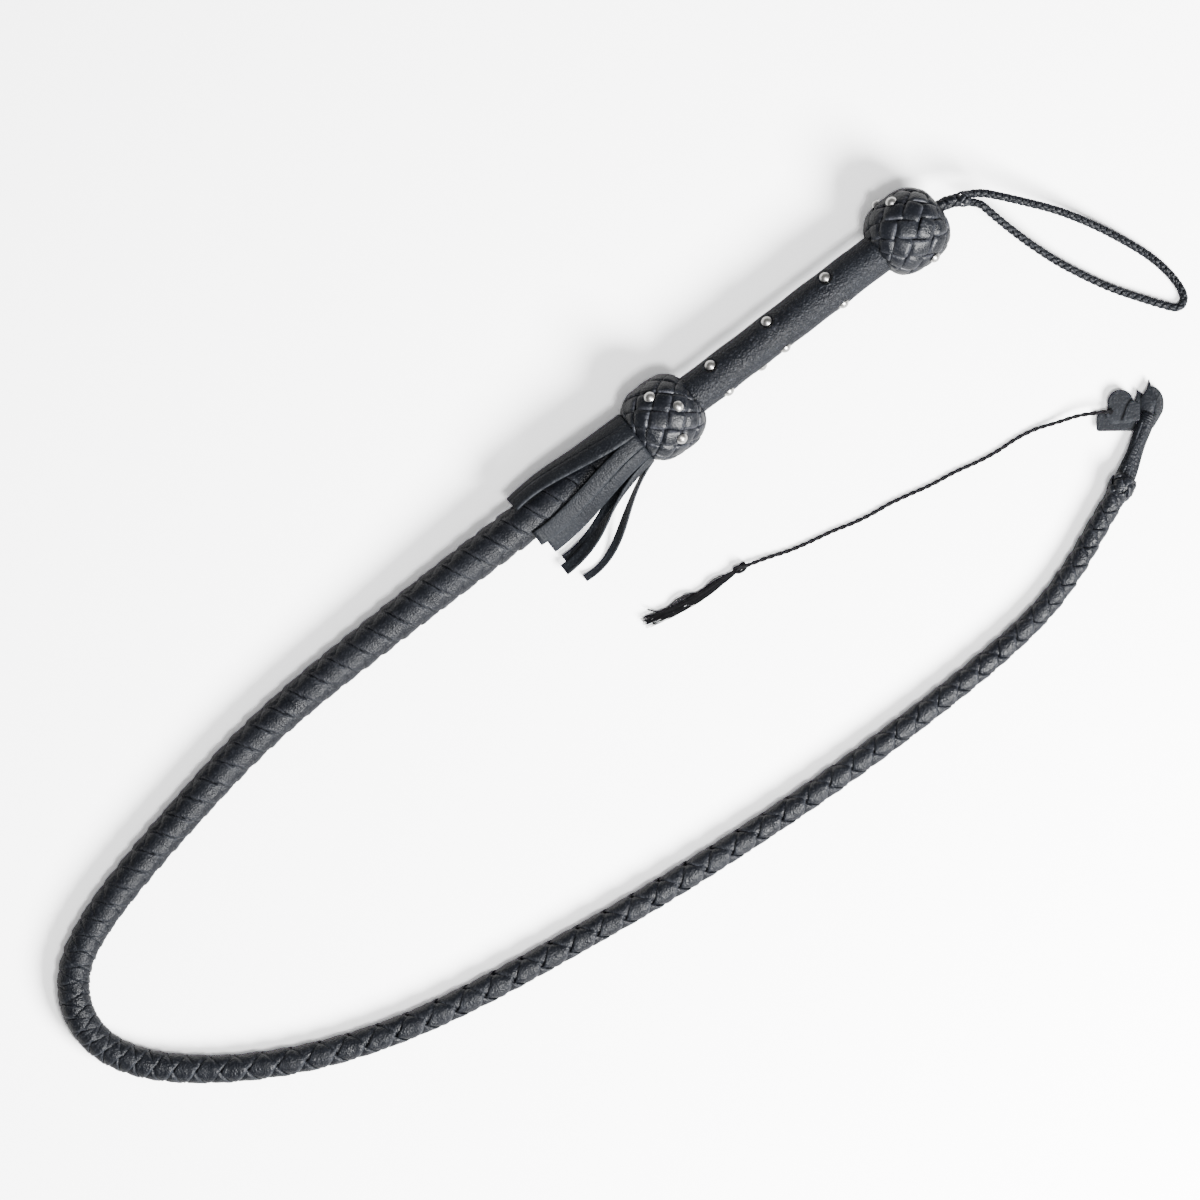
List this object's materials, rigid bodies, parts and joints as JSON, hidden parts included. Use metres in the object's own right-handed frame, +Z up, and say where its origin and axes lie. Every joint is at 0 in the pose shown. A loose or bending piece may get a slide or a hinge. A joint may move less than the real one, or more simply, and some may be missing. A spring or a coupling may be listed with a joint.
{
  "type": "stock whip",
  "caption": "Studded leather stock whip: rigid grip with two ball knots, fringe, plaited tapering thong folded back beside it, wrist loop and frayed popper.",
  "frame": {"origin": "on the plane the whip lies on, under the middle of the handle with its two knots and fringe", "axes": "+X along the handle towards the heel knot and wrist loop, +Z up, the thong folded back on the -Y side"},
  "size_m": [0.8042, 0.2686, 0.05],
  "materials": {
    "handle_wood": "turned wood, hidden under the leather",
    "grip_leather": "fine-grained black leather, satin",
    "stud_metal": "polished nickel-plated domes",
    "knot_leather": "woven black strap leather, satin sheen",
    "fringe_leather": "soft black strap leather with cut edges",
    "plait_leather": "black four-strand round plait, satin sheen",
    "inner_leather": "rolled leather core, hidden under the plait",
    "popper_cord": "twisted black cord with a frayed end"
  },
  "bodies": {
    "handle": {"handle_core": "handle_wood", "grip_cover": "grip_leather", "grip_studs": "stud_metal", "fringe_knot_core": "handle_wood", "fringe_knot": "knot_leather", "fringe_knot_studs": "stud_metal", "heel_knot_core": "handle_wood", "heel_knot": "knot_leather", "heel_knot_studs": "stud_metal", "loop_anchor": "plait_leather", "fringe_band": "knot_leather", "fringe_strip_1": "fringe_leather", "fringe_strip_2": "fringe_leather", "fringe_strip_3": "fringe_leather", "fringe_strip_4": "fringe_leather", "fringe_strip_5": "fringe_leather", "fringe_strip_6": "fringe_leather", "fringe_strip_7": "fringe_leather", "fringe_strip_8": "fringe_leather", "fringe_strip_9": "fringe_leather", "fringe_strip_10": "fringe_leather", "fringe_strip_11": "fringe_leather", "fringe_strip_12": "fringe_leather", "thong_plait_1": "plait_leather", "thong_core_1": "inner_leather"},
    "neck": {"loop_neck": "plait_leather"},
    "loop": {"wrist_loop": "plait_leather"},
    "thong_front": {"thong_plait_2": "plait_leather", "thong_core_2": "inner_leather"},
    "thong_bend": {"thong_plait_3": "plait_leather", "thong_core_3": "inner_leather"},
    "thong_return": {"thong_plait_4": "plait_leather", "thong_core_4": "inner_leather", "end_knot": "knot_leather", "neck_strands": "plait_leather", "strand_binding": "plait_leather", "strand_points": "fringe_leather", "popper_tab": "fringe_leather"},
    "popper": {"popper_hitch": "popper_cord", "popper_string": "popper_cord", "popper_knot": "popper_cord", "popper_tuft": "popper_cord"}
  },
  "joints": [
    {"name": "loop_swing", "type": "hinge", "parent": "handle", "child": "neck", "pos_m": [0.1587, 0.0128, 0.025], "axis": [0, 0, 1], "range_deg": [-5, 60]},
    {"name": "loop_lift", "type": "hinge", "parent": "neck", "child": "loop", "pos_m": [0.16939, 0.00735, 0.025], "axis": [-0.454, -0.891, 0], "range_deg": [0, 90]},
    {"name": "thong_flex_fringe", "type": "hinge", "parent": "handle", "child": "thong_front", "pos_m": [-0.2243, 0.01355, 0.01739], "axis": [0, 0, -1], "range_deg": [-1.5, 30]},
    {"name": "thong_flex_bend", "type": "hinge", "parent": "thong_front", "child": "thong_bend", "pos_m": [-0.4418, -0.0047, 0.01013], "axis": [0, 0, -1], "range_deg": [-1.5, 75]},
    {"name": "thong_flex_return", "type": "hinge", "parent": "thong_bend", "child": "thong_return", "pos_m": [-0.3188, -0.1997, 0.00769], "axis": [0, 0, -1], "range_deg": [-2, 40]},
    {"name": "popper_swing", "type": "hinge", "parent": "thong_return", "child": "popper", "pos_m": [0.1642, -0.1474, 0.005], "axis": [0, 0, 1], "range_deg": [-4, 20]}
  ]
}
